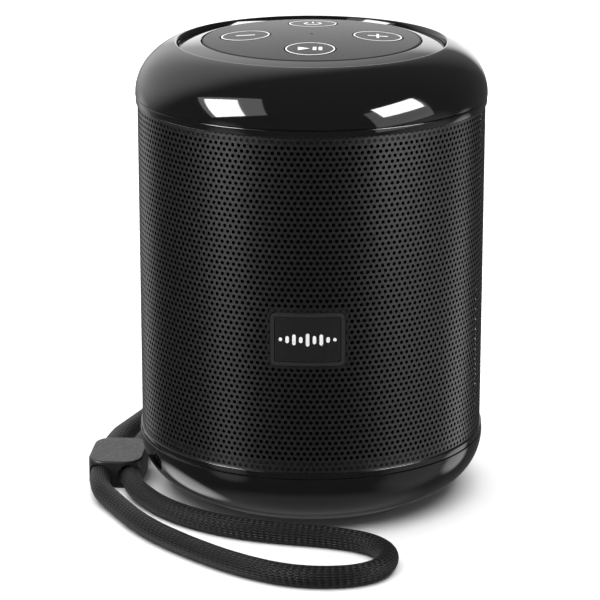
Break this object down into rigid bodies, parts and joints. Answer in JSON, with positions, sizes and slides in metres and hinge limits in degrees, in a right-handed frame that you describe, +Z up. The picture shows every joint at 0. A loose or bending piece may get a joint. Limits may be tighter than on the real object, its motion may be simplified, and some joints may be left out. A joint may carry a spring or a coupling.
{
  "type": "portable wireless speaker",
  "caption": "Upright round portable wireless speaker with a perforated metal grille, glossy domed ends, a crowned control panel on top and a braided wrist strap lying beside it.",
  "frame": {"origin": "on the floor, under the middle of the round body", "axes": "+Z up along the body's axis; the badge and the driver face -Y; the charging port is at +Y"},
  "size_m": [0.0986, 0.1394, 0.114],
  "materials": {
    "gloss_black": "glossy",
    "pad_grey": "matte silicone",
    "grille_metal": "satin black powder coat",
    "cloth": "matte",
    "rubber_black": "satin",
    "badge_face": "satin",
    "inner_plastic": "matte",
    "switch_plastic": "matte",
    "board_green": "satin",
    "component_black": "matte",
    "steel": "satin",
    "ferrite": "matte",
    "cone_paper": "matte",
    "copper": "satin",
    "spider_cloth": "matte",
    "passive_metal": "satin",
    "cell_wrap": "gloss sleeve",
    "led_lens": "translucent",
    "ribbon": "satin",
    "cord_black": "braided nylon",
    "ferrule_grey": "satin"
  },
  "bodies": {
    "speaker_body": {"lower_shell": "gloss_black", "top_cap": "gloss_black", "control_bezel": "gloss_black", "upper_trim_ring": "gloss_black", "lower_trim_ring": "gloss_black", "control_pad": "pad_grey", "grille": "grille_metal", "acoustic_cloth": "cloth", "foot_ring": "rubber_black", "badge": "rubber_black", "base_gasket": "rubber_black", "driver_gasket": "rubber_black", "surround": "rubber_black", "passive_surround": "rubber_black", "microphone_gasket": "rubber_black", "badge_inlay": "badge_face", "inner_chassis": "inner_plastic", "driver_basket": "inner_plastic", "passive_frame": "inner_plastic", "battery_cradle": "inner_plastic", "port_plate": "inner_plastic", "strap_anchor": "inner_plastic", "tact_switches": "switch_plastic", "control_board": "board_green", "main_board": "board_green", "charge_board": "board_green", "board_components": "component_black", "control_board_screws": "steel", "base_screws": "steel", "cap_screws": "steel", "driver_screws": "steel", "passive_screws": "steel", "main_board_screws": "steel", "flap_pin": "steel", "usb_c_connector": "steel", "yoke": "steel", "pole_washer": "steel", "microphone": "steel", "magnet": "ferrite", "spider": "spider_cloth", "battery_cell": "cell_wrap", "charge_led": "led_lens", "ribbon_cable": "ribbon", "wrist_cord": "cord_black", "cord_ferrule": "ferrule_grey"},
    "power_key": {"power_button": "pad_grey", "power_plunger": "switch_plastic"},
    "play_key": {"play_button": "pad_grey", "play_plunger": "switch_plastic"},
    "volume_down_key": {"volume_down_button": "pad_grey", "volume_down_plunger": "switch_plastic"},
    "volume_up_key": {"volume_up_button": "pad_grey", "volume_up_plunger": "switch_plastic"},
    "driver_diaphragm": {"driver_cone": "cone_paper", "dust_cap": "cone_paper", "voice_coil": "copper"},
    "passive_diaphragm": {"passive_plate": "passive_metal", "passive_weight": "passive_metal"},
    "port_cover": {"port_flap": "rubber_black"}
  },
  "joints": [
    {"name": "power_press", "type": "slide", "parent": "speaker_body", "child": "power_key", "axis": [0, 0, -1], "range_m": [0, 0.0006], "stiffness_N_per_m": 2500},
    {"name": "play_press", "type": "slide", "parent": "speaker_body", "child": "play_key", "axis": [0, 0, -1], "range_m": [0, 0.0006], "stiffness_N_per_m": 2500},
    {"name": "volume_down_press", "type": "slide", "parent": "speaker_body", "child": "volume_down_key", "axis": [0, 0, -1], "range_m": [0, 0.0006], "stiffness_N_per_m": 2500},
    {"name": "volume_up_press", "type": "slide", "parent": "speaker_body", "child": "volume_up_key", "axis": [0, 0, -1], "range_m": [0, 0.0006], "stiffness_N_per_m": 2500},
    {"name": "driver_travel", "type": "slide", "parent": "speaker_body", "child": "driver_diaphragm", "axis": [0, 1, 0], "range_m": [-0.0015, 0.0015], "stiffness_N_per_m": 2000},
    {"name": "passive_travel", "type": "slide", "parent": "speaker_body", "child": "passive_diaphragm", "axis": [0, 1, 0], "range_m": [-0.002, 0.002], "stiffness_N_per_m": 900},
    {"name": "port_flap_hinge", "type": "hinge", "parent": "speaker_body", "child": "port_cover", "pos_m": [0.0096, 0.04048, 0.029], "axis": [0, 0, -1], "range_deg": [0, 110]}
  ]
}
